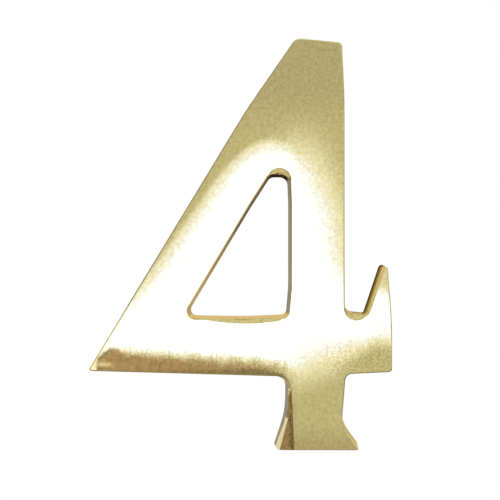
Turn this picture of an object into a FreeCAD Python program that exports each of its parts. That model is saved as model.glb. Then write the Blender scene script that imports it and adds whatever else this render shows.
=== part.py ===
import FreeCAD, Part
import Sketcher
import math
import os

# Polished cast-brass door numeral 4, with its face towards -Y and +Z up the numeral.
# The flat back lies in the plane y = 0.
# The origin is midway between the two fixing holes, on the centre line of the stem.

# Driving dimensions in millimetres and degrees.
# The plan is dimensioned on the back, where the casting is widest, to its sharp corners.
# Each corner is then rounded in plan by the radius that goes with it.
SIZES = {
    # underside of the crossbar, at the stem
    "bar_under_z": -21.65,
    # left tip, where the diagonal comes down to the crossbar
    "tip_x": -42.6,
    "tip_rise": 1.05,
    "tip_radius": 0.7,
    # bend of the diagonal below the crown, which rises above the straight line
    "bend_x": -13.3,
    "bend_rise": 1.44,
    "bend_radius": 120,
    # short sloping crown at the top of the stem
    "crown_x": -4.1,
    "crown_z": 41,
    "crown_radius": 2.1,
    "crown_fall": 0.85,
    "crown_set_in": 0.5,
    "crown_right_radius": 1.2,
    # right side of the stem, which leans in above the shoulder
    "stem_right_x": 5.25,
    "shoulder_drop": 9.75,
    "shoulder_radius": 140,
    # notch between the stem and the spur
    "notch_z": -9.55,
    "notch_left_radius": 1.7,
    "notch_width": 3.65,
    "notch_fall": 0.4,
    "notch_right_radius": 0.5,
    # spur that stands up from the right end of the crossbar
    "spur_z": 1.85,
    "spur_set_in": 1.1,
    "spur_radius": 0.72,
    # right end of the crossbar
    "arm_end_x": 13.97,
    "arm_bend_z": -11,
    "arm_bend_radius": 90,
    "arm_end_rise": 0.4,
    "arm_end_radius": 1,
    # foot below the crossbar, with a toe on each side
    "foot_height": 13.5,
    "foot_right_x": 5.45,
    "right_corner_rise": 0.45,
    "right_corner_radius": 1,
    "right_waist_set_in": 0.75,
    "right_flare_rise": 4.95,
    "right_flare_radius": 6.2,
    "right_toe_out": 2.9,
    "right_toe_radius": 0.6,
    "foot_left_x": -5.75,
    "left_corner_radius": 2,
    "left_flare_rise": 6.85,
    "left_flare_radius": 17,
    "left_toe_out": 2.3,
    "left_toe_radius": 0.6,
    # three-sided counter, open right through, with slightly bent sides
    "counter_top_z": 15.5,
    "counter_top_width": 3.2,
    "counter_top_left_radius": 1.3,
    "counter_top_right_radius": 1.5,
    "counter_right_x": -5.2,
    "counter_top_set_in": 0.2,
    "counter_upper_bend_drop": 5,
    "counter_upper_bend_radius": 40,
    "counter_lower_bend_rise": 5.25,
    "counter_lower_bend_radius": 20,
    "counter_heel_z": -10.25,
    "counter_heel_set_in": 0.45,
    "counter_heel_radius": 1,
    "counter_sag_x": -13.3,
    "counter_sag_depth": 0.29,
    "counter_sag_radius": 60,
    "counter_left_x": -24.3,
    "counter_left_z": -10.4,
    "counter_left_radius": 1.1,
    "counter_slope_x": -12.3,
    "counter_slope_rise": 0.35,
    "counter_slope_radius": 25,
    # section: flat back, drafted walls and a face ground flat
    "thickness": 4.3,
    "draft_angle": 4,
    # polished edge all round the face
    "arris_radius": 0.25,
    # four edges of the face rolled over further by polishing, each in an arc on the face:
    # the radius of that arc, the radius of the roll and the angle at which it leaves the face
    "top_roll_reach": 2.2,
    "top_roll_radius": 1.9,
    "notch_roll_reach": 2.3,
    "notch_roll_radius": 1.82,
    "sag_roll_reach": 37.5,
    "sag_roll_radius": 1.42,
    "corner_roll_reach": 2.9,
    "corner_roll_radius": 1.2,
    "roll_entry_angle": 15,
    # flats filed along edges that face left: how far in from the plan each begins, how far its
    # inner line leans from upright, and how steeply it falls from the face
    "heel_flat_inset": 0.95,
    "heel_flat_lean": 3,
    "heel_flat_slope": 9,
    "toe_flat_inset": 0.42,
    "toe_flat_drop": 0.7,
    "toe_flat_lean": 13.5,
    "toe_flat_slope": 65,
    "spur_flat_inset": 0.8,
    "spur_flat_slope": 40,
    # blind fixing holes in the back
    "fixing_spacing": 52,
    "fixing_diameter": 3.3,
    "fixing_depth": 3,
}


def height_on_line(first, second, x):
    """Formula for the height at x of the straight line through two corners."""
    rise = f"({{{second}_z}} - {{{first}_z}})"
    run = f"({{{second}_x}} - {{{first}_x}})"
    return f"{{{first}_z}} + {rise} * ({{{x}}} - {{{first}_x}}) / {run}"


# Places that follow from the dimensions, each worked out from those before it.
PLACES = {
    "tip_z": "{bar_under_z} + {tip_rise}",
    "bend_z": height_on_line("tip", "crown", "bend_x") + " + {bend_rise}",
    "crown_right_x": "{stem_right_x} - {crown_set_in}",
    "crown_right_z": "{crown_z} - {crown_fall}",
    "shoulder_z": "{crown_right_z} - {shoulder_drop}",
    "notch_right_x": "{stem_right_x} + {notch_width}",
    "notch_right_z": "{notch_z} - {notch_fall}",
    "spur_x": "{arm_end_x} - {spur_set_in}",
    "right_corner_z": "{bar_under_z} + {right_corner_rise}",
    "arm_under_z": "{right_corner_z} + {arm_end_rise}",
    "foot_bottom_z": "{bar_under_z} - {foot_height}",
    "right_flare_z": "{foot_bottom_z} + {right_flare_rise}",
    "right_waist_x": "{foot_right_x} - {right_waist_set_in}",
    "right_toe_x": "{foot_right_x} + {right_toe_out}",
    "left_flare_z": "{foot_bottom_z} + {left_flare_rise}",
    "left_toe_x": "{foot_left_x} - {left_toe_out}",
    "counter_top_right_x": "{counter_right_x} - {counter_top_set_in}",
    "counter_top_left_x": "{counter_top_right_x} - {counter_top_width}",
    "counter_top_left_z": "{counter_top_z}",
    "counter_upper_bend_z": "{counter_top_z} - {counter_upper_bend_drop}",
    "counter_heel_x": "{counter_right_x} - {counter_heel_set_in}",
    "counter_lower_bend_z": "{counter_heel_z} + {counter_lower_bend_rise}",
    "counter_sag_z": height_on_line("counter_left", "counter_heel", "counter_sag_x")
    + " - {counter_sag_depth}",
    "counter_slope_z": height_on_line("counter_left", "counter_top_left", "counter_slope_x")
    + " + {counter_slope_rise}",
    "top_roll_x": "({counter_top_left_x} + {counter_top_right_x}) / 2",
    "top_roll_z": "{counter_top_z}",
    "notch_roll_x": "({stem_right_x} + {notch_right_x}) / 2",
    "notch_roll_z": "({notch_z} + {notch_right_z}) / 2",
    "sag_roll_x": "{counter_sag_x}",
    "sag_roll_z": "{counter_sag_z}",
    "corner_roll_x": "{foot_left_x} - {left_corner_radius}",
    "corner_roll_z": "{bar_under_z}",
    "sag_right_run": "{counter_heel_x} - {counter_heel_radius} - {counter_sag_x}",
    "sag_left_run": "{counter_sag_x} - {counter_left_x} - 2 * {counter_left_radius}",
    "heel_flat_x": "{foot_left_x} + {heel_flat_inset}",
    "heel_flat_z": "{bar_under_z} - {left_corner_radius}",
    "toe_flat_x": "{foot_left_x} + {toe_flat_inset}",
    "toe_flat_z": "{left_flare_z} - {toe_flat_drop}",
    "spur_flat_x": "{notch_right_x} + {spur_flat_inset}",
    "spur_flat_z": "{notch_right_z} + {notch_right_radius}",
}

# Corners of the outline, clockwise from the left tip: across, up and radius in plan.
OUTLINE = [
    ("tip_x", "tip_z", "tip_radius"),
    ("bend_x", "bend_z", "bend_radius"),
    ("crown_x", "crown_z", "crown_radius"),
    ("crown_right_x", "crown_right_z", "crown_right_radius"),
    ("stem_right_x", "shoulder_z", "shoulder_radius"),
    ("stem_right_x", "notch_z", "notch_left_radius"),
    ("notch_right_x", "notch_right_z", "notch_right_radius"),
    ("spur_x", "spur_z", "spur_radius"),
    ("arm_end_x", "arm_bend_z", "arm_bend_radius"),
    ("arm_end_x", "arm_under_z", "arm_end_radius"),
    ("foot_right_x", "right_corner_z", "right_corner_radius"),
    ("right_waist_x", "right_flare_z", "right_flare_radius"),
    ("right_toe_x", "foot_bottom_z", "right_toe_radius"),
    ("left_toe_x", "foot_bottom_z", "left_toe_radius"),
    ("foot_left_x", "left_flare_z", "left_flare_radius"),
    ("foot_left_x", "bar_under_z", "left_corner_radius"),
]

# Corners of the counter, clockwise from its top left.
COUNTER = [
    ("counter_top_left_x", "counter_top_left_z", "counter_top_left_radius"),
    ("counter_top_right_x", "counter_top_z", "counter_top_right_radius"),
    ("counter_right_x", "counter_upper_bend_z", "counter_upper_bend_radius"),
    ("counter_right_x", "counter_lower_bend_z", "counter_lower_bend_radius"),
    ("counter_heel_x", "counter_heel_z", "counter_heel_radius"),
    ("counter_sag_x", "counter_sag_z", "counter_sag_radius"),
    ("counter_left_x", "counter_left_z", "counter_left_radius"),
    ("counter_slope_x", "counter_slope_z", "counter_slope_radius"),
]

# Rolled edges: name, whether the arc bows up (1) or down (-1), and how far it turns.
# The long one under the counter stops short of both corners.
ROLLS = [
    ("top_roll", 1, "360"),
    ("notch_roll", -1, "360"),
    ("sag_roll", -1, "2 * asin(min({sag_left_run}; {sag_right_run}) / {sag_roll_reach})"),
    ("corner_roll", 1, "360"),
]

# Filed flats: name, lean of the flat's inner line from upright towards +X, how far outwards the
# stroke passes, and whether it runs up (True) or down from where it begins.
FLATS = [
    ("heel_flat", "-{heel_flat_lean} * 1 deg", "2 * {left_toe_out}", False),
    ("toe_flat", "{toe_flat_lean} * 1 deg", "2 * {left_toe_out}", False),
    ("spur_flat", "atan(({spur_x} - {notch_right_x}) / ({spur_z} - {notch_right_z}))", "{notch_width}", True),
]


def add_sheet(doc):
    """Spreadsheet with one named cell for each driving dimension."""
    sheet = doc.addObject("Spreadsheet::Sheet", "sizes")
    for row, (name, value) in enumerate(SIZES.items(), start=1):
        sheet.set(f"A{row}", name)
        sheet.set(f"B{row}", str(value))
        sheet.setAlias(f"B{row}", name)
    doc.recompute()
    return sheet


def in_cells(sheet, formula):
    """Formula with each {name} in it replaced by its cell, or by the rule that gives its place."""
    names = {name: f"{sheet.Name}.{name}" for name in SIZES}
    for place, rule in PLACES.items():
        names[place] = f"({rule.format(**names)})"
    return formula.format(**names)


def add_sketch(body, name, role):
    """Empty sketch on one of the body's own origin planes."""
    sketch = body.newObject("Sketcher::SketchObject", name)
    plane = next(plane for plane in body.Origin.OriginFeatures if plane.Role == role)
    sketch.AttachmentSupport = [(plane, "")]
    sketch.MapMode = "FlatFace"
    return sketch


def add_size(sketch, sheet, kind, elements, formula):
    """Dimension of a sketch that follows a formula of the sheet."""
    expression = in_cells(sheet, formula)
    value = sketch.evalExpression(expression)
    number = sketch.addConstraint(Sketcher.Constraint(kind, *elements, value))
    sketch.setExpression(f"Constraints[{number}]", expression)


def nearer_end(sketch, item, place):
    """Number, 1 or 2, of the end of a sketch element that lies nearer to a place."""
    gaps = [sketch.getPoint(item, end).distanceToPoint(place) for end in (1, 2)]
    return 1 if gaps[0] < gaps[1] else 2


def rounded_corners(sketch, sheet, corners):
    """Each corner of a loop as its sharp place and the start, middle and end of its arc."""
    sharp = []
    radii = []
    for x, z, radius in corners:
        across, up, size = (sketch.evalExpression(in_cells(sheet, f"{{{name}}}")) for name in (x, z, radius))
        sharp.append(FreeCAD.Vector(across, up, 0))
        radii.append(size)

    rounded = []
    for index, (here, radius) in enumerate(zip(sharp, radii)):
        back = (sharp[index - 1] - here).normalize()
        ahead = (sharp[(index + 1) % len(sharp)] - here).normalize()
        half_angle = back.getAngle(ahead) / 2
        run = radius / math.tan(half_angle)
        depth = radius / math.sin(half_angle) - radius
        inward = (back + ahead).normalize()
        rounded.append((here, here + back * run, here + inward * depth, here + ahead * run))
    return rounded


def add_rounded_loop(sketch, sheet, corners):
    """Closed loop of straight sides with a tangent arc at each corner, bound to the sheet."""
    rounded = rounded_corners(sketch, sheet, corners)
    arcs = []
    sides = []
    for index, (sharp, start, middle, end) in enumerate(rounded):
        next_start = rounded[(index + 1) % len(rounded)][1]
        arcs.append(sketch.addGeometry(Part.Arc(start, middle, end)))
        sides.append(sketch.addGeometry(Part.LineSegment(end, next_start)))

    for index, (x, z, radius) in enumerate(corners):
        sharp, start, middle, end = rounded[index]
        arc = arcs[index]
        side_before = sides[index - 1]
        side_after = sides[index]
        arc_start = nearer_end(sketch, arc, start)
        arc_end = nearer_end(sketch, arc, end)
        sketch.addConstraint(Sketcher.Constraint("Tangent", side_before, 2, arc, arc_start))
        sketch.addConstraint(Sketcher.Constraint("Tangent", arc, arc_end, side_after, 1))
        add_size(sketch, sheet, "Radius", (arc,), f"{{{radius}}}")

        # the sharp corner lies where the two sides would meet
        corner = sketch.addGeometry(Part.Point(sharp), True)
        sketch.addConstraint(Sketcher.Constraint("PointOnObject", corner, 1, side_before))
        sketch.addConstraint(Sketcher.Constraint("PointOnObject", corner, 1, side_after))
        add_size(sketch, sheet, "DistanceX", (-1, 1, corner, 1), f"{{{x}}}")
        add_size(sketch, sheet, "DistanceY", (-1, 1, corner, 1), f"{{{z}}}")


def add_blank(body, sheet):
    """Cast blank, narrowing towards the face by its draft."""
    outline = add_sketch(body, "outline", "XZ_Plane")
    add_rounded_loop(outline, sheet, OUTLINE)
    blank = body.newObject("PartDesign::Pad", "blank")
    blank.Profile = outline
    blank.setExpression("Length", in_cells(sheet, "{thickness}"))
    blank.setExpression("TaperAngle", in_cells(sheet, "-{draft_angle}"))


def cut_counter(body, sheet):
    """Counter through the blank, opening towards the face so that the casting leaves its mould."""
    loop = add_sketch(body, "counter_loop", "XZ_Plane")
    add_rounded_loop(loop, sheet, COUNTER)
    counter = body.newObject("PartDesign::Pocket", "counter")
    counter.Profile = loop
    counter.Reversed = True
    counter.setExpression("Length", in_cells(sheet, "{thickness}"))
    counter.setExpression("TaperAngle", in_cells(sheet, "{draft_angle}"))


def round_arris(body, sheet):
    """Polished edge all round the face and round the counter in it."""
    base = body.Tip
    face = min(base.Shape.Faces, key=lambda side: side.CenterOfMass.y)
    rim = []
    for number, edge in enumerate(base.Shape.Edges, start=1):
        if any(edge.isSame(side) for side in face.Edges):
            rim.append(f"Edge{number}")
    arris = body.newObject("PartDesign::Fillet", "arris")
    arris.Base = (base, rim)
    arris.setExpression("Radius", in_cells(sheet, "{arris_radius}"))


def add_turned_profile(sketch, arc_places, corners):
    """Closed profile of one arc and straight sides, joined end to end, as their numbers."""
    start, middle, end = arc_places
    items = [sketch.addGeometry(Part.Arc(start, middle, end))]
    places = [end, *corners, start]
    for first, second in zip(places, places[1:]):
        items.append(sketch.addGeometry(Part.LineSegment(first, second)))
    for number, place in enumerate(places):
        before = items[number]
        after = items[(number + 1) % len(items)]
        ends = nearer_end(sketch, before, place), nearer_end(sketch, after, place)
        sketch.addConstraint(Sketcher.Constraint("Coincident", before, ends[0], after, ends[1]))
    return items


def roll_edge(body, sheet, name, side, sweep):
    """Edge of the face rolled over in an arc that bows furthest where its middle is.

    The roll comes off the face at the entry angle and ends level with the wall's foot on the back.
    """
    x, z, reach, radius = (f"{{{name}_{part}}}" for part in ("x", "z", "reach", "radius"))
    face = "-{thickness}"
    depth = f"({radius} * cos({{roll_entry_angle}} * 1 deg))"
    spread = f"({radius} * sin({{roll_entry_angle}} * 1 deg))"
    profile = add_sketch(body, f"{name}_profile", "YZ_Plane")
    middle_height = f"{z} + {side} * ({radius} - {spread} - {reach})"
    profile.setExpression("AttachmentOffset.Base.y", in_cells(sheet, middle_height))
    profile.setExpression("AttachmentOffset.Base.z", in_cells(sheet, x))

    face_y, reach_z, roll, drop, set_back = (
        profile.evalExpression(in_cells(sheet, size)) for size in (face, reach, radius, depth, spread))
    on_face = FreeCAD.Vector(face_y, side * reach_z, 0)
    centre = FreeCAD.Vector(face_y + drop, side * (reach_z + set_back), 0)
    on_wall = centre - FreeCAD.Vector(0, side * roll, 0)
    middle = centre + ((on_face + on_wall) / 2 - centre).normalize() * roll
    ahead_of_wall = FreeCAD.Vector(face_y - roll, on_wall.y, 0)
    ahead_of_face = FreeCAD.Vector(face_y - roll, on_face.y, 0)
    arc, inner, fore, outer = add_turned_profile(
        profile, (on_face, middle, on_wall), (ahead_of_wall, ahead_of_face))
    profile.addConstraint(Sketcher.Constraint("Horizontal", inner))
    profile.addConstraint(Sketcher.Constraint("Vertical", fore))
    profile.addConstraint(Sketcher.Constraint("Horizontal", outer))
    add_size(profile, sheet, "DistanceX", (-1, 1, outer, 2), face)
    add_size(profile, sheet, "DistanceY", (-1, 1, outer, 2), f"{side} * {reach}")
    add_size(profile, sheet, "DistanceX", (-1, 1, outer, 1), f"{face} - {radius}")
    add_size(profile, sheet, "DistanceX", (-1, 1, arc, 3), f"{face} + {depth}")
    add_size(profile, sheet, "DistanceY", (-1, 1, arc, 3), f"{side} * ({reach} + {spread})")
    add_size(profile, sheet, "DistanceX", (-1, 1, inner, 1), f"{face} + {depth}")

    roll_cut = body.newObject("PartDesign::Groove", name)
    roll_cut.Profile = profile
    roll_cut.ReferenceAxis = (profile, ["H_Axis"])
    roll_cut.Midplane = True
    roll_cut.setExpression("Angle", in_cells(sheet, sweep))


def file_flat(body, sheet, name, lean, reach, upward):
    """Flat filed off an edge that faces left, falling from a straight line on the face."""
    x, z, slope = (f"{{{name}_{part}}}" for part in ("x", "z", "slope"))
    face = "-{thickness}"
    ahead = "-2 * {thickness}"
    foot = f"{face} + {reach} * tan({slope} * 1 deg)"
    profile = add_sketch(body, f"{name}_profile", "XY_Plane")
    turn = profile.evalExpression(in_cells(sheet, lean))
    upright = FreeCAD.Vector(0, 1, 0)
    profile.AttachmentOffset = FreeCAD.Placement(FreeCAD.Vector(), FreeCAD.Rotation(upright, turn))
    profile.setExpression("AttachmentOffset.Rotation.Angle", in_cells(sheet, lean))
    profile.setExpression("AttachmentOffset.Base.x", in_cells(sheet, x))
    profile.setExpression("AttachmentOffset.Base.z", in_cells(sheet, z))

    face_y, ahead_y, foot_y, stroke = (
        profile.evalExpression(in_cells(sheet, size)) for size in (face, ahead, foot, reach))
    places = [FreeCAD.Vector(0, face_y, 0), FreeCAD.Vector(-stroke, foot_y, 0),
              FreeCAD.Vector(-stroke, ahead_y, 0), FreeCAD.Vector(0, ahead_y, 0)]
    fall, outer, fore, inner = (
        profile.addGeometry(Part.LineSegment(place, places[(number + 1) % len(places)]))
        for number, place in enumerate(places))
    for before, after in ((fall, outer), (outer, fore), (fore, inner), (inner, fall)):
        profile.addConstraint(Sketcher.Constraint("Coincident", before, 2, after, 1))
    profile.addConstraint(Sketcher.Constraint("Vertical", outer))
    profile.addConstraint(Sketcher.Constraint("Horizontal", fore))
    profile.addConstraint(Sketcher.Constraint("Vertical", inner))
    profile.addConstraint(Sketcher.Constraint("PointOnObject", fall, 1, -2))
    add_size(profile, sheet, "DistanceY", (-1, 1, fall, 1), face)
    add_size(profile, sheet, "DistanceX", (-1, 1, fall, 2), f"-({reach})")
    add_size(profile, sheet, "DistanceY", (-1, 1, fall, 2), foot)
    add_size(profile, sheet, "DistanceY", (-1, 1, fore, 1), ahead)

    flat = body.newObject("PartDesign::Pocket", name)
    flat.Profile = profile
    flat.Type = "ThroughAll"
    flat.Reversed = upward


def cut_fixings(body, sheet):
    """Two blind holes in the back, one above the other on the centre line of the stem."""
    plan = add_sketch(body, "fixing_plan", "XZ_Plane")
    for sign in ("", "-"):
        height = sign + "{fixing_spacing} / 2"
        centre = FreeCAD.Vector(0, plan.evalExpression(in_cells(sheet, height)), 0)
        normal = FreeCAD.Vector(0, 0, 1)
        hole = plan.addGeometry(Part.Circle(centre, normal, sheet.get("fixing_diameter") / 2))
        plan.addConstraint(Sketcher.Constraint("PointOnObject", hole, 3, -2))
        add_size(plan, sheet, "Diameter", (hole,), "{fixing_diameter}")
        add_size(plan, sheet, "DistanceY", (-1, 1, hole, 3), height)
    fixings = body.newObject("PartDesign::Pocket", "fixings")
    fixings.Profile = plan
    fixings.Reversed = True
    fixings.setExpression("Length", in_cells(sheet, "{fixing_depth}"))


def check_document(doc):
    """Stop if an object failed to build, a sketch is loose or a cut removed nothing."""
    for item in doc.Objects:
        if "Invalid" in item.State or "Error" in item.State:
            raise RuntimeError(f"{item.Label} failed to build")
        if item.isDerivedFrom("Sketcher::SketchObject") and not item.FullyConstrained:
            raise RuntimeError(f"{item.Label} is not fully constrained")
        if item.isDerivedFrom("PartDesign::FeatureAddSub") and item.BaseFeature:
            if item.Shape.Volume >= item.BaseFeature.Shape.Volume:
                raise RuntimeError(f"{item.Label} cut nothing")


def write_part(part):
    """Check a finished sub-part and write it under its label."""
    if part.Shape.isNull() or not part.Shape.isValid() or len(part.Shape.Solids) != 1:
        raise RuntimeError(f"{part.Label} is not one valid solid")
    os.makedirs("parts", exist_ok=True)
    part.Shape.exportStep(f"parts/{part.Label}.step")


doc = FreeCAD.newDocument("door_numeral")
sheet = add_sheet(doc)
numeral = doc.addObject("PartDesign::Body", "numeral")
add_blank(numeral, sheet)
cut_counter(numeral, sheet)
doc.recompute()
round_arris(numeral, sheet)
doc.recompute()
for name, side, sweep in ROLLS:
    roll_edge(numeral, sheet, name, side, sweep)
for name, lean, reach, upward in FLATS:
    file_flat(numeral, sheet, name, lean, reach, upward)
cut_fixings(numeral, sheet)
doc.recompute()
check_document(doc)
write_part(numeral)
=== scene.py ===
import math

import bpy
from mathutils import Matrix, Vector


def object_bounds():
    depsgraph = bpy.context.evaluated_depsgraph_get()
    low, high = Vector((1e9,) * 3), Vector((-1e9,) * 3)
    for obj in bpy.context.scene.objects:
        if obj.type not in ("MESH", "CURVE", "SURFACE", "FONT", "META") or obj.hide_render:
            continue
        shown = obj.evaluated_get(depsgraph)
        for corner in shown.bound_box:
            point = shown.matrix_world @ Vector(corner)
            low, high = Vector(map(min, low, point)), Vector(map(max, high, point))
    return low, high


MM = 0.001
QUARTER_TURN = math.radians(90)

# Sockets of the mix node that share their names: numbers in, colours in and the colour out.
MIX_NUMBERS = (2, 3)
MIX_COLOURS = (6, 7)
MIX_COLOUR_OUT = 2

# Middle of the random vectors, and the ends of a soft edge in shares of its softness.
NOISE_MIDDLE = (0.5, 0.5, 0.5)
EDGE_ENDS = (-1.0, 1.0)

# Camera on an axis square to the face, in metres and in pixels of the 500 pixel frame.
CAMERA_PLACE = Vector((-12.381, -152.0, 1.834)) * MM
FOCAL_PIXELS = 806.9
FRAME_PIXELS = 500
SENSOR_MM = 36.0
CLIP_START = 0.01

# Stage and reflector round the numeral, in metres.
FLOOR_Z = -0.30
BACKDROP_Y = 0.50
STAGE_REACH = 4.0
STAGE_BEND = 0.15
STAGE_FADE = (2.2, 3.9)
BEND_STEPS = 12
REFLECTOR_Y = -0.45
REFLECTOR_HALF = 0.12
WHITE = (1.0, 1.0, 1.0, 1.0)

# Light of the room. Each pair is of the two values of a direction's upward part, or in
# ROOM_LEFTWARDS of its part to the right, between which the light changes.
ROOM_SIDE = (0.50, 0.485, 0.46, 1.0)
ROOM_OVERHEAD = (0.75, 0.75, 0.75, 1.0)
ROOM_LEFT = (0.62, 0.60, 0.55, 1.0)
ROOM_RISE = (0.1, 0.8)
ROOM_FLOOR = (-0.077, -0.136)
ROOM_LEFTWARDS = (-0.5, -0.9)
ROOM_LEFT_RISE = (0.0, 0.2)

# The reflector's picture, placed in millimetres on the face, where it is seen mirrored. A pair
# is a value at each end of a change, or the two places between which the change happens.
# At its sides and its foot the picture fades into the room.
REFLECTOR_FADE = (50.0, 110.0)
REFLECTOR_FOOT = (-44.0, -72.0)

# The bright panel's upper edge is an arch, crisp on the left and soft on the right, that runs
# into a slanting edge at the left.
ARCH_X = -6.5
ARCH_Z = -2.0
ARCH_HEIGHT = 24.0
ARCH_RIGHT_WIDTH = (11.8, 31.8)
ARCH_WIDENS = (0.5, -14.0)
ARCH_WIDENS_RIGHT = (-3.2, -8.2)
ARCH_RIGHT = (5.5, 7.0)
ARCH_LEFT_X = -7.0
ARCH_LEFT_WIDTH = (15.4, 40.0)
ARCH_WIDENS_LEFT = (20.0, 4.0)
SLANT = (-0.81, 0.586)
SLANT_REACH = (23.25, 24.4)
SLANT_EASES = (-3.0, -10.0)
SLANT_BLEND = 0.12
ARCH_SOFTENS = (-11.0, 1.0)
ARCH_SOFTNESS = (0.09, 0.45)
ARCH_EDGE = (1.02, 0.90)
ARCH_CRISP = (-0.02, 0.03)
ARCH_CRISP_SHARE = 0.42
ARCH_GLOW = (0.0, 0.17)

# Its lower edge falls gently to the right along the crossbar, turns down at the foot,
# fades slowly across the stem and rises again along the right arm.
BAND_SLOPE = -0.07
BAND_Z = -18.95
BAND_TURN_X = -9.0
BAND_TURN = -0.06
BAND_FADE = (-1.1, 1.0)
BAND_END = (-2.5, -7.5)
ARM_SLOPE = 0.37
ARM_Z = -18.4
ARM_LEVELS = (-20.0, -14.5)
ARM_SOFTNESS = (6.8, 2.5)
ARM_SOFTENS = (1.5, 9.5)

# On the left tip are a brown hill with a dark left rim, a warm bright strip beside it and
# a streak over it. The spur has faint light.
HILL_PLACE = (-37.44, -18.71)
HILL_HALF = (2.97, 2.57)
HILL_FADE = (1.10, 0.96)
HILL_POWER = 1.5
HILL_RIM = (0.66, 0.92)
HILL_RIM_RIGHT = (0.1, -0.3)
TIP_LIGHT = 0.88
TIP_RIGHT = (-37.5, -38.5)
TIP_LEFT = (-47.0, -44.0)
TIP_TOP = (-5.0, -10.0)
TIP_FOOT = (-21.5, -20.5)
TIP_WARMTH = (1.15, 1.05, 0.6)
TIP_WARM_X = (-33.0, -36.0)
TIP_WARM_Z = (-15.0, -17.5)
STREAK_PLACE = (-39.3, -19.15)
STREAK_HALF = (2.1, 0.5)
STREAK_FADE = (1.0, 0.4)
STREAK_LIGHT = 0.5
SPUR_LIGHT = 0.22
SPUR_LEFT = (7.5, 9.5)
SPUR_FOOT = (-12.0, -9.0)

# Light of the panel from its edge inwards, which is added to the light of the ground.
PANEL_STEPS = (
    (0.0, (0.0, 0.0, 0.0, 1.0)),
    (0.35, (0.36, 0.41, 0.70, 1.0)),
    (0.55, (0.45, 0.57, 1.35, 1.0)),
    (0.75, (0.56, 0.76, 2.30, 1.0)),
    (1.0, (1.0, 1.2, 3.0, 1.0)),
)

# The ground is grey, dimmer far up and down. At the lower left it is a mottled brown, darker
# below a line near the lower edge of the crossbar.
GROUND = (0.61, 0.61, 0.61, 1.0)
GROUND_HIGH = (0.52, 0.515, 0.53, 1.0)
GROUND_LOW = (0.50, 0.465, 0.46, 1.0)
GROUND_TOP = (22.0, 33.0)
GROUND_FOOT = (-29.0, -35.0)
BROWN = ((0.29, 0.215, 0.19, 1.0), (0.62, 0.47, 0.42, 1.0))
BROWN_LOW = ((0.26, 0.205, 0.175, 1.0), (0.51, 0.41, 0.34, 1.0))
BROWN_MOTTLE_SCALE = 1400.0
BROWN_MOTTLE_DETAIL = 4.0
BROWN_MOTTLE = (0.25, 0.75)
BROWN_RIM = (0.10, 0.07, 0.055, 1.0)
BROWN_LOWERS = (-23.0, -31.0)
BROWN_SLOPE = -0.10
BROWN_Z = -20.68
BROWN_TURN_X = -12.4
BROWN_TURN = -0.024
BROWN_FADE = (0.5, -0.5)
BROWN_RIGHT = (-4.0, -6.5)
BROWN_FOOT = (-46.0, -40.0)
EDGE_DARK = (0.26, 0.225, 0.21, 1.0)
EDGE_SLOPE = 0.02
EDGE_Z = (-19.69, -20.19)
EDGE_X = (-40.0, -36.0)

# Unevenness of the hand-buffed face. Each row of tilts is a scale along each axis in waves to
# the metre, the detail of the noise and twice the largest tilt in radians. The flecks are sharper,
# and their number is four times the largest tilt. The face is calmer at the left tip and at the
# upper left.
FACE_TILTS = (
    ((450.0, 450.0, 450.0), 3.0, 0.006),
    ((1300.0, 400.0, 300.0), 2.0, 0.0045),
    ((3000.0, 3000.0, 3000.0), 2.0, 0.004),
)
FLECK_SCALE = (2600.0, 2600.0, 2600.0)
FLECK_DETAIL = 0.0
FLECK_TILT = 0.025
TIP_CALM = (-33.0 * MM, -36.0 * MM)
SIDE_CALM_X = (-6.0 * MM, -10.0 * MM)
SIDE_CALM_Z = (-14.0 * MM, -10.0 * MM)
TILT_SHARE = (1.0, 0.2)

# Polished brass, mottled all over and with a finer speckle on the right arm.
BRASS_DARK = (0.72, 0.58, 0.21, 1.0)
BRASS_LIGHT = (1.0, 0.88, 0.41, 1.0)
MOTTLE_SCALE = 1600.0
MOTTLE_DETAIL = 6.0
FACE_MOTTLE = (0.1, 0.9)
SPECKLE_SCALE = 2600.0
SPECKLE_DETAIL = 3.0
SPECKLE = (0.34, 0.66)
SPECKLE_X = (-4.0 * MM, 4.0 * MM)
SPECKLE_Z = (-13.0 * MM, -17.0 * MM)
SPECKLE_FOOT = (-26.0 * MM, -19.0 * MM)
FACE_ROUGHNESS = (0.02, 0.045)
FACE_TINT = (0.95, 0.80, 0.46, 1.0)
POLISHED_FROM = (-0.12, -0.40)

# Edges of the face: painted shade where they face left above the crossbar, a painted highlight on the
# toe, dull where they face up and painted shade where they face down, tan higher up and dark or brown
# lower down.
ROUNDED_STEEP = (-0.30, -0.45)
ROUNDED_FLAT = (-0.997, -0.97)
# Painted shade on the edges that face left above the crossbar.
ARRIS_SHADE = (0.30, 0.255, 0.14, 1.0)
ARRIS_LEFT = (-0.15, -0.35)
ARRIS_X = (2.0 * MM, -2.0 * MM)
ARRIS_Z = (-12.0 * MM, -7.0 * MM)
# Painted highlight, pale, on the toe's flats that face left.
TOE_HIGHLIGHT = (0.73, 0.65, 0.38, 1.0)
TOE_HIGHLIGHT_LEFT = (-0.6, -0.8)
TOE_HIGHLIGHT_Z = (-24.0 * MM, -27.0 * MM)
ROLL_ROUGHNESS = 0.35
ROLL_UP = (0.15, 0.4)
# Painted shade on the edges that face down: tan higher up, dark or brown lower down.
UNDER_SHADE_TAN = (0.56, 0.44, 0.19, 1.0)
UNDER_SHADE_BROWN = (0.34, 0.25, 0.13, 1.0)
UNDER_SHADE_DARK = (0.16, 0.115, 0.06, 1.0)
UNDER_SHADE_BELOW = (0.12, -0.08)
UNDER_SHADE_LEFT = (-0.2, -0.4)
UNDER_SHADE_Z = (-15.0 * MM, -18.0 * MM)
UNDER_SHADE_SHARE = 0.9
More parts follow.
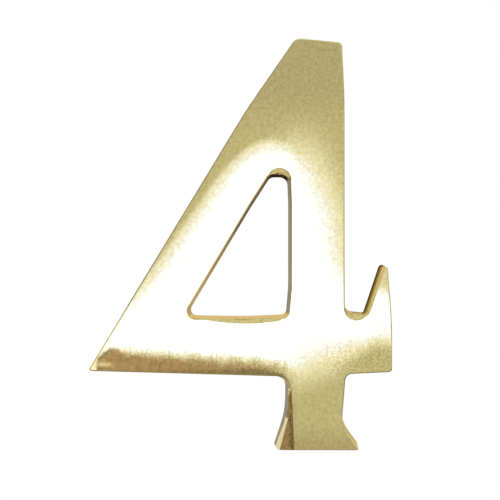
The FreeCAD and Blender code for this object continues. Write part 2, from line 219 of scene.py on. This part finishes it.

# Dull cast walls, with light and shade painted into their colour: painted light, tan, where they face
# up, painted shade, grey where they face left, brown on the counter's left, dark at its top, and by the
# spur dark brown at the back and brighter towards the face, where the wall is also smoother.
WALL_CAST = (0.60, 0.48, 0.24, 1.0)
# Painted shade, grey, on walls that face left.
WALL_SHADE_GREY = (0.42, 0.39, 0.345, 1.0)
# Painted shade, brown and darker upwards, on the counter's left wall.
WALL_SHADE_BROWN = ((0.62, 0.49, 0.26, 1.0), (0.40, 0.28, 0.12, 1.0))
WALL_BROWN_Z = (-9.0 * MM, 4.0 * MM)
# Painted light, tan, on walls that face up.
WALL_LIT_TAN = (0.80, 0.65, 0.34, 1.0)
# Painted shadow, dark, on the counter's top wall.
WALL_SHADOW_DARK = (0.12, 0.085, 0.05, 1.0)
# Painted shade in the notch by the spur: dark brown at the back, brighter towards the face.
WALL_SPUR_SHADE = (
    (0.12, (0.12, 0.09, 0.055, 1.0)),
    (0.40, (0.36, 0.27, 0.13, 1.0)),
    (0.85, (0.76, 0.62, 0.32, 1.0)),
)
WALL_ROUGHNESS = (0.45, 0.30)
WALL_WIPED = (0.2, 0.7)
WALL_RIGHT = (-0.2, 0.5)
WALL_RIGHT_X = (-4.0 * MM, -7.0 * MM)
WALL_LEFT = (-0.2, -0.6)
WALL_LEFT_UP = (0.45, 0.25)
WALL_UP = (0.4, 0.8)
WALL_DOWN = (-0.3, -0.7)
WALL_COUNTER_Z = (4.0 * MM, 6.0 * MM)
WALL_SPUR_LEFT = (0.5, -0.2)
WALL_SPUR_X = (4.0 * MM, 6.0 * MM)
WALL_SPUR_Z = (-12.0 * MM, -9.0 * MM)
WALL_GRAIN = (0.8, 1.2)
WALL_TILT_SCALE = (1800.0, 1800.0, 1800.0)
WALL_TILT_DETAIL = 3.0
WALL_TILT = (0.08, 0.0)

# The back, ground flat with fine marks across it.
BACK = ((0.60, 0.48, 0.235, 1.0), (0.68, 0.55, 0.28, 1.0))
BACK_FACING = (0.5, 0.8)
BACK_MARKS = (50.0, 50.0, 7000.0)
BACK_MARKS_DETAIL = 4.0
BACK_MARKS_SHARE = (0.3, 0.7)
BACK_ROUGHNESS = (0.50, 0.34)


def add_node(tree, kind, settings=None, inputs=None):
    """New node with its settings, and its inputs set to values or linked to other nodes' outputs."""
    made = tree.nodes.new(kind)
    for name, value in (settings or {}).items():
        setattr(made, name, value)
    for name, value in (inputs or {}).items():
        socket = made.inputs[name]
        if isinstance(value, bpy.types.NodeSocket):
            tree.links.new(value, socket)
        else:
            socket.default_value = value
    return made


def maths(tree, operation, first, second=0.0, third=0.0):
    """Output of a math node."""
    made = add_node(tree, "ShaderNodeMath", {"operation": operation}, {0: first, 1: second, 2: third})
    return made.outputs[0]


def vector_maths(tree, operation, first, second=(0, 0, 0)):
    """Output of a vector math node."""
    made = add_node(tree, "ShaderNodeVectorMath", {"operation": operation}, {0: first, 1: second})
    return made.outputs[0]


def product(tree, first, *others):
    """Product of numbers."""
    for other in others:
        first = maths(tree, "MULTIPLY", first, other)
    return first


def positive(tree, value):
    """The value where it is above zero, and zero elsewhere."""
    return maths(tree, "MAXIMUM", value, 0.0)


def length(tree, first, second):
    """Length of a flat vector."""
    squares = [product(tree, part, part) for part in (first, second)]
    return maths(tree, "SQRT", maths(tree, "ADD", *squares))


def from_middle(tree, value, middle, half):
    """Offset of a value from a middle, as a share of a half size."""
    return maths(tree, "DIVIDE", maths(tree, "SUBTRACT", value, middle), half)


def parts(tree, vector):
    """The three parts of a vector."""
    return tuple(add_node(tree, "ShaderNodeSeparateXYZ", None, {0: vector}).outputs)


def own_place(tree):
    """Place on a piece, in the piece's own coordinates."""
    return add_node(tree, "ShaderNodeTexCoord").outputs["Object"]


def fade(tree, value, ends):
    """Smooth step of a value, from 0 at the first end to 1 at the second, which may be the lower."""
    settings = {"interpolation_type": "SMOOTHSTEP"}
    made = add_node(tree, "ShaderNodeMapRange", settings, {
        "Value": value, "From Min": ends[0], "From Max": ends[1]})
    return made.outputs["Result"]


def between(tree, share, ends):
    """Number a share of the way from the first end to the second."""
    return maths(tree, "MULTIPLY_ADD", share, ends[1] - ends[0], ends[0])


def weigh(tree, share, first, second):
    """Number a share of the way from the first to the second, either of which may vary."""
    inputs = {"Factor": share, MIX_NUMBERS[0]: first, MIX_NUMBERS[1]: second}
    return add_node(tree, "ShaderNodeMix", None, inputs).outputs[0]


def blend(tree, share, first, second):
    """Colour a share of the way from the first to the second."""
    inputs = {"Factor": share, MIX_COLOURS[0]: first, MIX_COLOURS[1]: second}
    return add_node(tree, "ShaderNodeMix", {"data_type": "RGBA"}, inputs).outputs[MIX_COLOUR_OUT]


def stepped(tree, share, steps):
    """Colour that runs through the given steps as a share grows."""
    made = add_node(tree, "ShaderNodeValToRGB", None, {"Fac": share})
    stops = made.color_ramp.elements
    while len(stops) < len(steps):
        stops.new(1.0)
    for stop, (place, colour) in zip(stops, steps):
        stop.position = place
        stop.color = colour
    return made.outputs["Color"]


def noise_node(tree, place, scale, detail):
    """Noise of a scale and detail at each place."""
    inputs = {"Vector": place, "Scale": scale, "Detail": detail}
    return add_node(tree, "ShaderNodeTexNoise", None, inputs)


def noise_value(tree, place, scale, detail):
    """Random number at each place, from 0 to 1."""
    return noise_node(tree, place, scale, detail).outputs["Fac"]


def noise_about_zero(tree, place, scale, detail):
    """Random vector at each place, about zero, with its own scale along each axis."""
    stretched = vector_maths(tree, "MULTIPLY", place, scale)
    noise = noise_node(tree, stretched, 1.0, detail)
    return vector_maths(tree, "SUBTRACT", noise.outputs["Color"], NOISE_MIDDLE)


def new_tree(owner):
    """Empty node tree of a material or world."""
    owner.use_nodes = True
    owner.node_tree.nodes.clear()
    return owner.node_tree


def add_mesh(name, vertices, faces):
    """New mesh object in the scene."""
    mesh = bpy.data.meshes.new(name)
    mesh.from_pydata(vertices, [], faces)
    piece = bpy.data.objects.new(name, mesh)
    bpy.context.scene.collection.objects.link(piece)
    return piece


def light_material(name, make_colour):
    """Material that gives off light of the colour that a function makes in its tree."""
    material = bpy.data.materials.new(name)
    tree = new_tree(material)
    light = add_node(tree, "ShaderNodeEmission", None, {"Color": make_colour(tree), "Strength": 1.0})
    add_node(tree, "ShaderNodeOutputMaterial", None, {"Surface": light.outputs[0]})
    return material


def add_camera():
    """Camera square to the face."""
    data = bpy.data.cameras.new("camera")
    data.sensor_width = SENSOR_MM
    data.lens = SENSOR_MM * FOCAL_PIXELS / FRAME_PIXELS
    data.clip_start = CLIP_START
    camera = bpy.data.objects.new("camera", data)
    camera.location = CAMERA_PLACE
    camera.rotation_euler = (QUARTER_TURN, 0, 0)
    bpy.context.scene.collection.objects.link(camera)
    bpy.context.scene.camera = camera


def room_colour(tree, way):
    """Light of the room in a direction: soft, brighter overhead and at the upper left, white below."""
    rightwards, _, upwards = parts(tree, way)
    upper_left = product(tree, fade(tree, rightwards, ROOM_LEFTWARDS),
                         fade(tree, upwards, ROOM_LEFT_RISE))
    colour = blend(tree, upper_left, ROOM_SIDE, ROOM_LEFT)
    colour = blend(tree, fade(tree, upwards, ROOM_RISE), colour, ROOM_OVERHEAD)
    return blend(tree, fade(tree, upwards, ROOM_FLOOR), colour, WHITE)


def room_beyond(tree):
    """Light of the room behind a place, seen from the numeral, and how far off the place is."""
    place = add_node(tree, "ShaderNodeNewGeometry").outputs["Position"]
    away = add_node(tree, "ShaderNodeVectorMath", {"operation": "LENGTH"}, {0: place}).outputs["Value"]
    return room_colour(tree, vector_maths(tree, "NORMALIZE", place)), away


def add_room():
    """World with the light of the room."""
    world = bpy.data.worlds.new("room")
    tree = new_tree(world)
    colour = room_colour(tree, add_node(tree, "ShaderNodeTexCoord").outputs["Generated"])
    sky = add_node(tree, "ShaderNodeBackground", None, {"Color": colour, "Strength": 1.0})
    add_node(tree, "ShaderNodeOutputWorld", None, {"Surface": sky.outputs[0]})
    bpy.context.scene.world = world


def stage_colour(tree):
    """White near the numeral, fading into the room far off."""
    room, away = room_beyond(tree)
    return blend(tree, fade(tree, away, STAGE_FADE), WHITE, room)


def add_stage():
    """White floor that bends up into a backdrop behind the numeral."""
    profile = [(-STAGE_REACH, FLOOR_Z)]
    for step in range(BEND_STEPS + 1):
        turn = QUARTER_TURN * step / BEND_STEPS
        y = BACKDROP_Y - STAGE_BEND + STAGE_BEND * math.sin(turn)
        z = FLOOR_Z + STAGE_BEND - STAGE_BEND * math.cos(turn)
        profile.append((y, z))
    profile.append((BACKDROP_Y, STAGE_REACH))
    vertices = [(side * STAGE_REACH, y, z) for y, z in profile for side in (-1, 1)]
    faces = [(2 * row, 2 * row + 1, 2 * row + 3, 2 * row + 2) for row in range(len(profile) - 1)]
    stage = add_mesh("stage", vertices, faces)
    stage.data.materials.append(light_material("stage_white", stage_colour))


def panel_top(tree, x, z):
    """Share of the panel's light that its upper edge leaves."""
    wider_right = product(tree, fade(tree, x, ARCH_RIGHT), fade(tree, z, ARCH_WIDENS_RIGHT))
    wider = maths(tree, "MAXIMUM", fade(tree, z, ARCH_WIDENS), wider_right)
    right_width = between(tree, wider, ARCH_RIGHT_WIDTH)
    left_width = between(tree, fade(tree, z, ARCH_WIDENS_LEFT), ARCH_LEFT_WIDTH)
    to_right = positive(tree, from_middle(tree, x, ARCH_X, right_width))
    to_left = maths(tree, "MINIMUM", from_middle(tree, x, ARCH_LEFT_X, left_width), 0.0)
    across = maths(tree, "SUBTRACT", to_right, to_left)
    up = positive(tree, from_middle(tree, z, ARCH_Z, ARCH_HEIGHT))
    arch = length(tree, across, up)

    slant = maths(tree, "MULTIPLY_ADD", x, SLANT[0], product(tree, z, SLANT[1]))
    slant = maths(tree, "DIVIDE", slant, between(tree, fade(tree, z, SLANT_EASES), SLANT_REACH))
    outwards = maths(tree, "SMOOTH_MAX", arch, slant, SLANT_BLEND)

    rightwards = fade(tree, x, ARCH_SOFTENS)
    inwards = maths(tree, "SUBTRACT", between(tree, rightwards, ARCH_EDGE), outwards)
    softness = between(tree, rightwards, ARCH_SOFTNESS)
    soft = fade(tree, maths(tree, "DIVIDE", inwards, softness), EDGE_ENDS)
    glow = product(tree, fade(tree, inwards, ARCH_GLOW), 1 - ARCH_CRISP_SHARE)
    crisp = maths(tree, "MULTIPLY_ADD", fade(tree, inwards, ARCH_CRISP), ARCH_CRISP_SHARE, glow)
    return weigh(tree, rightwards, crisp, soft)


def above_line(tree, x, z, slope, level, turn_x, turn):
    """Height above a line that is straight up to a turn and bends beyond it."""
    past_turn = positive(tree, maths(tree, "SUBTRACT", x, turn_x))
    turned = maths(tree, "MULTIPLY_ADD", product(tree, past_turn, past_turn), turn, level)
    return maths(tree, "SUBTRACT", z, maths(tree, "MULTIPLY_ADD", x, slope, turned))


def panel_foot(tree, x, z):
    """Share of the panel's light that its lower edge leaves."""
    above_band = above_line(tree, x, z, BAND_SLOPE, BAND_Z, BAND_TURN_X, BAND_TURN)
    band = fade(tree, above_band, BAND_FADE)

    arm_edge = maths(tree, "MULTIPLY_ADD", x, ARM_SLOPE, ARM_Z)
    arm_edge = maths(tree, "MAXIMUM", arm_edge, ARM_LEVELS[0])
    arm_edge = maths(tree, "MINIMUM", arm_edge, ARM_LEVELS[1])
    arm_softness = between(tree, fade(tree, x, ARM_SOFTENS), ARM_SOFTNESS)
    above_arm = maths(tree, "DIVIDE", maths(tree, "SUBTRACT", z, arm_edge), arm_softness)
    arm = fade(tree, above_arm, EDGE_ENDS)
    return weigh(tree, fade(tree, x, BAND_END), arm, band)


def tip_shapes(tree, x, z):
    """Shares on the left tip: of the hill, its dark left rim, the light beside it and the streak."""
    across = from_middle(tree, x, HILL_PLACE[0], HILL_HALF[0])
    up = positive(tree, from_middle(tree, z, HILL_PLACE[1], HILL_HALF[1]))
    sides = (maths(tree, "ABSOLUTE", across), up)
    outwards = maths(tree, "ADD", *(maths(tree, "POWER", side, HILL_POWER) for side in sides))
    hill = fade(tree, outwards, HILL_FADE)
    rim = product(tree, fade(tree, outwards, HILL_RIM), fade(tree, across, HILL_RIM_RIGHT), hill)
    beside = product(tree, fade(tree, x, TIP_RIGHT), fade(tree, x, TIP_LEFT),
                     fade(tree, z, TIP_TOP), fade(tree, z, TIP_FOOT))
    streak = length(tree, from_middle(tree, x, STREAK_PLACE[0], STREAK_HALF[0]),
                    from_middle(tree, z, STREAK_PLACE[1], STREAK_HALF[1]))
    return hill, rim, beside, fade(tree, streak, STREAK_FADE)


def ground_colour(tree, x, z, hill, rim):
    """Light round the panel: grey, and brown at the lower left and on the hill with its rim."""
    grey = blend(tree, fade(tree, z, GROUND_TOP), GROUND, GROUND_HIGH)
    grey = blend(tree, fade(tree, z, GROUND_FOOT), grey, GROUND_LOW)

    mottle = noise_value(tree, own_place(tree), BROWN_MOTTLE_SCALE, BROWN_MOTTLE_DETAIL)
    mottle = fade(tree, mottle, BROWN_MOTTLE)
    lowering = fade(tree, z, BROWN_LOWERS)
    brown = blend(tree, lowering, blend(tree, mottle, *BROWN), blend(tree, mottle, *BROWN_LOW))
    brown = blend(tree, rim, brown, BROWN_RIM)
    above_edge = maths(tree, "MULTIPLY_ADD", x, -EDGE_SLOPE, z)
    by_edge = product(tree, fade(tree, x, EDGE_X), fade(tree, above_edge, EDGE_Z))
    brown = blend(tree, by_edge, brown, EDGE_DARK)

    above_brown = above_line(tree, x, z, BROWN_SLOPE, BROWN_Z, BROWN_TURN_X, BROWN_TURN)
    low_left = product(tree, fade(tree, x, BROWN_RIGHT), fade(tree, above_brown, BROWN_FADE),
                       fade(tree, z, BROWN_FOOT))
    return blend(tree, maths(tree, "MAXIMUM", low_left, hill), grey, brown)


def reflector_colour(tree):
    """Light of the reflector at each of its places."""
    place_x, _, place_z = parts(tree, own_place(tree))
    x = maths(tree, "DIVIDE", place_x, MM)
    z = maths(tree, "DIVIDE", place_z, MM)
    hill, rim, beside, streak = tip_shapes(tree, x, z)
    on_spur = product(tree, fade(tree, x, SPUR_LEFT), fade(tree, z, SPUR_FOOT))
    panel = product(tree, panel_top(tree, x, z), panel_foot(tree, x, z))
    panel = maths(tree, "MAXIMUM", panel, product(tree, on_spur, SPUR_LIGHT))
    panel = maths(tree, "MAXIMUM", panel, product(tree, beside, TIP_LIGHT))
    panel = product(tree, panel, maths(tree, "SUBTRACT", 1.0, hill))
    panel = maths(tree, "MAXIMUM", panel, product(tree, streak, STREAK_LIGHT))

    light = stepped(tree, panel, PANEL_STEPS)
    on_tip = product(tree, fade(tree, x, TIP_WARM_X), fade(tree, z, TIP_WARM_Z))
    light = blend(tree, on_tip, light, vector_maths(tree, "MULTIPLY", light, TIP_WARMTH))
    shown = vector_maths(tree, "ADD", ground_colour(tree, x, z, hill, rim), light)

    outwards = maths(tree, "MAXIMUM", maths(tree, "ABSOLUTE", x), maths(tree, "ABSOLUTE", z))
    away = maths(tree, "MAXIMUM", fade(tree, outwards, REFLECTOR_FADE), fade(tree, z, REFLECTOR_FOOT))
    room, _ = room_beyond(tree)
    return blend(tree, away, shown, room)


def add_reflector(face_y):
    """Large soft reflector behind the camera, placed so that its places match those on the face."""
    to_face = face_y - CAMERA_PLACE.y
    to_reflector = to_face + face_y - REFLECTOR_Y
    growth = to_reflector / to_face
    half = REFLECTOR_HALF
    corners = [(-half, 0, -half), (half, 0, -half), (half, 0, half), (-half, 0, half)]
    reflector = add_mesh("reflector", corners, [(0, 1, 2, 3)])
    reflector.scale = (growth, 1, growth)
    reflector.location = (CAMERA_PLACE.x * (1 - growth), REFLECTOR_Y, CAMERA_PLACE.z * (1 - growth))
    reflector.visible_camera = False
    reflector.data.materials.append(light_material("reflector_light", reflector_colour))


def tilted(tree, normal, noise, tilt):
    """Normal tilted by a random vector."""
    return vector_maths(tree, "ADD", normal, vector_maths(tree, "MULTIPLY", noise, tilt))


def worked_normal(tree, place, normal, polish):
    """Normal with the waves, fine strokes and flecks of hand buffing, and the grain of the walls."""
    x, _, z = parts(tree, place)
    on_side = product(tree, fade(tree, x, SIDE_CALM_X), fade(tree, z, SIDE_CALM_Z))
    calm = maths(tree, "MAXIMUM", on_side, fade(tree, x, TIP_CALM))
    share = between(tree, calm, TILT_SHARE)
    for scale, detail, tilt in FACE_TILTS:
        noise = noise_about_zero(tree, place, scale, detail)
        normal = tilted(tree, normal, noise, product(tree, share, tilt))
    fleck = noise_about_zero(tree, place, FLECK_SCALE, FLECK_DETAIL)
    fleck = vector_maths(tree, "MULTIPLY", fleck, vector_maths(tree, "ABSOLUTE", fleck))
    normal = tilted(tree, normal, fleck, product(tree, share, FLECK_TILT))
    grain = noise_about_zero(tree, place, WALL_TILT_SCALE, WALL_TILT_DETAIL)
    normal = tilted(tree, normal, grain, between(tree, polish, WALL_TILT))
    return vector_maths(tree, "NORMALIZE", normal)


def face_looks(tree, place, facing, mottle):
    """Colour of the polished face and its edges, with painted shade and a painted highlight on the
    edges, and their roughness.
    """
    x, _, z = parts(tree, place)
    facing_x, facing_y, facing_z = facing
    speckle = noise_value(tree, place, SPECKLE_SCALE, SPECKLE_DETAIL)
    on_arm = product(tree, fade(tree, x, SPECKLE_X), fade(tree, z, SPECKLE_Z),
                     fade(tree, z, SPECKLE_FOOT))
    shade = weigh(tree, on_arm, fade(tree, mottle, FACE_MOTTLE), fade(tree, speckle, SPECKLE))
    colour = blend(tree, shade, BRASS_DARK, BRASS_LIGHT)

    rounded = product(tree, fade(tree, facing_y, ROUNDED_STEEP), fade(tree, facing_y, ROUNDED_FLAT))
    at_left = product(tree, fade(tree, facing_x, ARRIS_LEFT), fade(tree, x, ARRIS_X),
                      fade(tree, z, ARRIS_Z))
    toe_highlight = product(tree, fade(tree, facing_x, TOE_HIGHLIGHT_LEFT), fade(tree, z, TOE_HIGHLIGHT_Z))
    # Painted shade on edges that face down, tan higher up and dark or brown lower down.
    below = product(tree, fade(tree, facing_z, UNDER_SHADE_BELOW), UNDER_SHADE_SHARE)
    low_under_shade = blend(tree, fade(tree, facing_x, UNDER_SHADE_LEFT), UNDER_SHADE_DARK, UNDER_SHADE_BROWN)
    under_shade = blend(tree, fade(tree, z, UNDER_SHADE_Z), UNDER_SHADE_TAN, low_under_shade)
    # Painted shade on the left-facing edges above the crossbar.
    colour = blend(tree, product(tree, at_left, rounded), colour, ARRIS_SHADE)
    # Painted highlight on the toe's left-facing flats.
    colour = blend(tree, toe_highlight, colour, TOE_HIGHLIGHT)
    # Painted shade on the edges that face down.
    colour = blend(tree, product(tree, rounded, below), colour, under_shade)

    rolled_up = product(tree, rounded, fade(tree, facing_z, ROLL_UP))
    return colour, weigh(tree, rolled_up, between(tree, mottle, FACE_ROUGHNESS), ROLL_ROUGHNESS)


def wall_looks(tree, place, facing, mottle, face_y):
    """Colour of the cast walls, with painted light and shade by which way they face, and their
    roughness.
    """
    x, y, z = parts(tree, place)
    facing_x, _, facing_z = facing
    forwards = maths(tree, "DIVIDE", y, face_y)
    up = fade(tree, facing_z, WALL_UP)
    left = product(tree, fade(tree, facing_x, WALL_LEFT), fade(tree, facing_z, WALL_LEFT_UP))
    counter_left = product(tree, fade(tree, facing_x, WALL_RIGHT), fade(tree, x, WALL_RIGHT_X))
    counter_top = product(tree, fade(tree, facing_z, WALL_DOWN), fade(tree, z, WALL_COUNTER_Z))
    by_spur = product(tree, fade(tree, x, WALL_SPUR_X), fade(tree, z, WALL_SPUR_Z),
                      fade(tree, facing_x, WALL_SPUR_LEFT))

    # Painted light and shade on the walls, chosen by which way they face.
    brown = blend(tree, fade(tree, z, WALL_BROWN_Z), *WALL_SHADE_BROWN)
    colour = blend(tree, counter_left, WALL_CAST, brown)
    colour = blend(tree, up, colour, WALL_LIT_TAN)
    colour = blend(tree, left, colour, WALL_SHADE_GREY)
    # Painted shade in the notch by the spur.
    colour = blend(tree, by_spur, colour, stepped(tree, forwards, WALL_SPUR_SHADE))
    colour = blend(tree, counter_top, colour, WALL_SHADOW_DARK)
    colour = vector_maths(tree, "MULTIPLY", colour, between(tree, mottle, WALL_GRAIN))

    wiped = product(tree, by_spur, fade(tree, forwards, WALL_WIPED))
    smoother = maths(tree, "MAXIMUM", maths(tree, "MAXIMUM", counter_left, up), wiped)
    return colour, between(tree, smoother, WALL_ROUGHNESS)


def back_looks(tree, place):
    """Colour and roughness of the ground back."""
    marks = noise_value(tree, vector_maths(tree, "MULTIPLY", place, BACK_MARKS), 1.0, BACK_MARKS_DETAIL)
    share = fade(tree, marks, BACK_MARKS_SHARE)
    return blend(tree, share, *BACK), between(tree, share, BACK_ROUGHNESS)


def brass_material(face_y):
    """Polished brass with a hand-buffed face, duller cast walls and a ground back, and light and shade
    painted on edges and walls.
    """
    material = bpy.data.materials.new("polished_brass")
    tree = new_tree(material)
    place = own_place(tree)
    normal = add_node(tree, "ShaderNodeNewGeometry").outputs["Normal"]
    facing = parts(tree, normal)
    _, facing_y, _ = facing
    mottle = noise_value(tree, place, MOTTLE_SCALE, MOTTLE_DETAIL)

    wall_colour, wall_roughness = wall_looks(tree, place, facing, mottle, face_y)
    back_colour, back_roughness = back_looks(tree, place)
    at_back = fade(tree, facing_y, BACK_FACING)
    dull_colour = blend(tree, at_back, wall_colour, back_colour)
    dull_roughness = weigh(tree, at_back, wall_roughness, back_roughness)
    face_colour, face_roughness = face_looks(tree, place, facing, mottle)
    polish = fade(tree, facing_y, POLISHED_FROM)
    surface = add_node(tree, "ShaderNodeBsdfPrincipled", None, {
        "Base Color": blend(tree, polish, dull_colour, face_colour),
        "Metallic": 1.0,
        "Roughness": weigh(tree, polish, dull_roughness, face_roughness),
        "Specular Tint": blend(tree, polish, dull_colour, FACE_TINT),
        "Normal": worked_normal(tree, place, normal, polish)})
    add_node(tree, "ShaderNodeOutputMaterial", None, {"Surface": surface.outputs[0]})
    return material


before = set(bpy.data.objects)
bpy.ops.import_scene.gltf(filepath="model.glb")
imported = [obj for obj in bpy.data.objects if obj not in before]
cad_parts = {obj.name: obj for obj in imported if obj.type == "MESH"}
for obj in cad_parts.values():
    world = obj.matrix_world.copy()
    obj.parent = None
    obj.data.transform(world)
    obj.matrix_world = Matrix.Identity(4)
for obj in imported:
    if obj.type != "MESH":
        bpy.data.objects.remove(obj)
cad_low, cad_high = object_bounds()

add_camera()
add_stage()
add_room()
add_reflector(cad_low.y)

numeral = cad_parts["numeral"]
numeral.data.materials.clear()
numeral.data.materials.append(brass_material(cad_low.y))

bpy.context.scene.view_settings.view_transform = "Standard"
